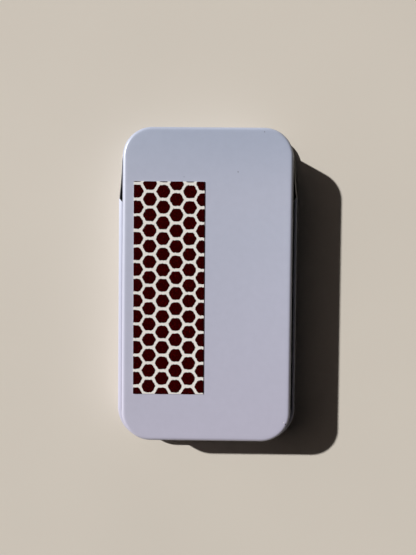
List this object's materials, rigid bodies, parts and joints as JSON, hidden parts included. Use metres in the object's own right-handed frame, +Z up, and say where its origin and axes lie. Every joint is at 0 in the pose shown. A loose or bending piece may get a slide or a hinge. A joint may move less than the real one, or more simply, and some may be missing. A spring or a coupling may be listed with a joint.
{
  "type": "match tin",
  "caption": "Slim hinged-lid tinplate box for loose matches, lying closed on its lid, with a honeycomb striking label on the flat bottom of its tray.",
  "frame": {"origin": "centre of the lid's outer flat face, on the surface the tin lies on", "axes": "+X across the tin, +Y along it to the hinge, +Z up out of the tray's flat bottom, which carries the striking label"},
  "size_m": [0.0468, 0.0826, 0.012],
  "materials": {
    "enamelled_tinplate": "satin pale grey enamel over drawn tinplate, bare lacquered tin inside",
    "steel_wire": "drawn bright steel wire",
    "adhesive_film": "thin acrylic adhesive film",
    "striker_paper": "uncoated off-white label paper",
    "striker_compound": "matt dark red-brown striking compound, gritty"
  },
  "bodies": {
    "lid": {"lid_shell": "enamelled_tinplate"},
    "tray": {"tray_shell": "enamelled_tinplate", "hinge_pin": "steel_wire", "striker_adhesive": "adhesive_film", "striker_paper": "striker_paper", "striker_dots": "striker_compound"}
  },
  "joints": [
    {"name": "lid_hinge", "type": "hinge", "parent": "lid", "child": "tray", "pos_m": [0, 0.03944, 0.00104], "axis": [-1, 0, 0], "range_deg": [0, 93]}
  ]
}
